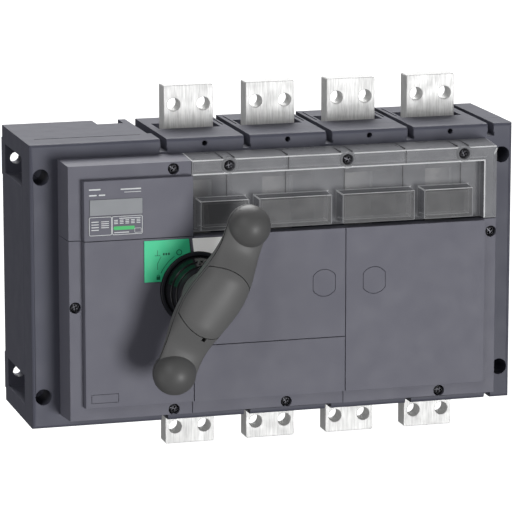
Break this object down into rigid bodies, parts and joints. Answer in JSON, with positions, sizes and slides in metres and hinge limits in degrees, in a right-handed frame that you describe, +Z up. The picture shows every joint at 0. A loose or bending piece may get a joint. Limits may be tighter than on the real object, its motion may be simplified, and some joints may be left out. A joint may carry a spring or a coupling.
{
  "type": "air-break switch disconnector",
  "caption": "Grey multi-pole air-break switch disconnector with a side-set rotary lever handle, tinned busbar pads above and below and a clear shield over the contacts.",
  "frame": {"origin": "centre of the rear mounting face, on the boss in the middle of the back of the case", "axes": "+X to the right seen from the front, +Y out of the back into the mounting plate, +Z up"},
  "size_m": [0.41, 0.2094, 0.303],
  "materials": {
    "case_plastic": "fine moulded grain, blue-grey",
    "cover_plastic": "fine moulded grain, blue-grey",
    "clear_plastic": "clear smoked polycarbonate, polished",
    "handle_plastic": "satin moulded, neutral grey",
    "black_plastic": "satin black",
    "label_white": "printed plate",
    "label_green": "printed plate",
    "window_grey": "plain grey field",
    "tinned_copper": "tin plate, brushed along its length",
    "copper": "bare contact copper",
    "steel": "zinc plated",
    "black_steel": "blackened screw",
    "arc_plate": "dull steel arc plates"
  },
  "bodies": {
    "case": {"rear_case": "case_plastic", "front_case": "case_plastic", "cover_upper_left": "cover_plastic", "cover_lower_left": "cover_plastic", "cover_mid_upper": "cover_plastic", "cover_mid_lower": "cover_plastic", "cover_right": "cover_plastic", "lock_blank_mid": "cover_plastic", "lock_blank_right": "cover_plastic", "access_blank": "cover_plastic", "clear_shield": "clear_plastic", "nameplate": "label_white", "dial_white": "label_white", "rating_window": "window_grey", "dial_green": "label_green", "dial_bezel": "black_plastic", "shaft_bearing_left": "black_plastic", "shaft_bearing_right": "black_plastic", "mechanism_plate": "steel", "drive_spring": "steel", "plate_screw_1": "steel", "plate_screw_2": "steel", "cover_screw_1": "black_steel", "cover_screw_2": "black_steel", "cover_screw_3": "black_steel", "cover_screw_4": "black_steel", "cover_screw_5": "black_steel", "cover_screw_6": "black_steel", "shield_screw_1": "black_steel", "shield_screw_2": "black_steel", "shield_screw_3": "black_steel", "top_terminal_1": "tinned_copper", "top_terminal_2": "tinned_copper", "top_terminal_3": "tinned_copper", "top_terminal_4": "tinned_copper", "bottom_terminal_1": "tinned_copper", "bottom_terminal_2": "tinned_copper", "bottom_terminal_3": "tinned_copper", "bottom_terminal_4": "tinned_copper", "flex_braid_1": "copper", "flex_braid_2": "copper", "flex_braid_3": "copper", "flex_braid_4": "copper", "arc_chute_1": "arc_plate", "arc_chute_2": "arc_plate", "arc_chute_3": "arc_plate", "arc_chute_4": "arc_plate"},
    "lever_handle": {"handle_rear_shell": "handle_plastic", "handle_front_shell": "handle_plastic", "handle_hub": "black_plastic", "drive_spindle": "steel"},
    "padlock_slide": {"handle_padlock_cap": "handle_plastic"},
    "rack": {"drive_slide": "steel"},
    "contact_shaft": {"pole_shaft": "steel", "shaft_lever": "steel", "moving_contact_1": "copper", "moving_contact_2": "copper", "moving_contact_3": "copper", "moving_contact_4": "copper"}
  },
  "joints": [
    {"name": "handle_turn", "type": "hinge", "parent": "case", "child": "lever_handle", "pos_m": [-0.0762, -0.15, 0], "axis": [0, -1, 0], "range_deg": [0, 90]},
    {"name": "padlock_cap_slide", "type": "slide", "parent": "lever_handle", "child": "padlock_slide", "axis": [0, -1, 0], "range_m": [0, 0.01], "stiffness_N_per_m": 80},
    {"name": "rack_slide", "type": "slide", "parent": "case", "child": "rack", "axis": [0, 0, -1], "range_m": [0, 0.0127], "deforming": ["drive_spring"]},
    {"name": "contact_shaft_turn", "type": "hinge", "parent": "case", "child": "contact_shaft", "pos_m": [0.03, -0.081, -0.025], "axis": [1, 0, 0], "range_deg": [0, 18.5], "deforming": ["flex_braid_1", "flex_braid_2", "flex_braid_3", "flex_braid_4"]}
  ],
  "couplings": [
    {"joint": "rack_slide", "follows": "handle_turn", "m_per_rad": 0.008},
    {"joint": "contact_shaft_turn", "follows": "handle_turn", "ratio": 0.2}
  ]
}
